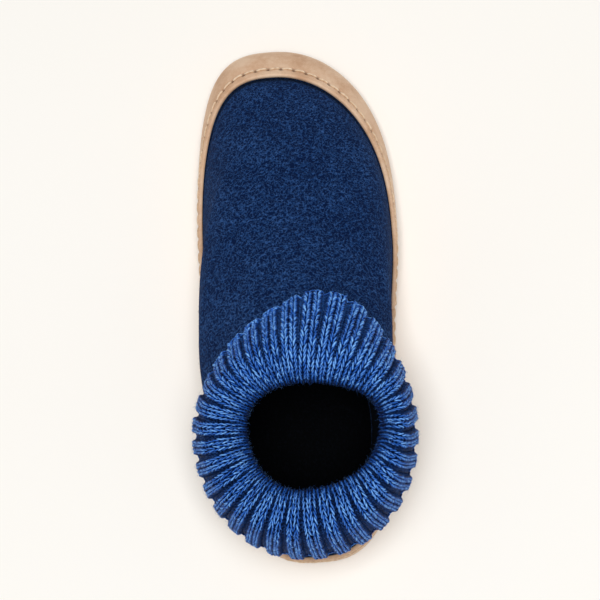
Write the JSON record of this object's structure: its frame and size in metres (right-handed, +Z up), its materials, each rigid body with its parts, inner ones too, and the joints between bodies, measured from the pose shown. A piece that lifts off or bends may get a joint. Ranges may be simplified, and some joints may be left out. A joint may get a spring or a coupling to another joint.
{
  "type": "felt slipper boot",
  "caption": "Low felt slipper boot for the right foot, with a turned-down rib-knit cuff, a suede sole and a suede rand sewn round its side.",
  "frame": {"origin": "on the floor, under the middle of the sole", "axes": "+Z up, +Y towards the toe, +X towards the lateral side of the right foot"},
  "size_m": [0.1094, 0.2646, 0.1187],
  "materials": {
    "sole_suede": "napped tan suede",
    "insole_felt": "dark wool felt",
    "felt": "boiled wool felt, short fibres",
    "rand_leather": "smooth nubuck",
    "rand_suede": "napped tan suede",
    "knit": "rib-knit wool"
  },
  "bodies": {
    "root": {"sole": "sole_suede", "insole": "insole_felt", "upper": "felt", "rand_toe": "rand_leather", "rand_heel": "rand_suede", "cuff": "knit"}
  },
  "joints": []
}
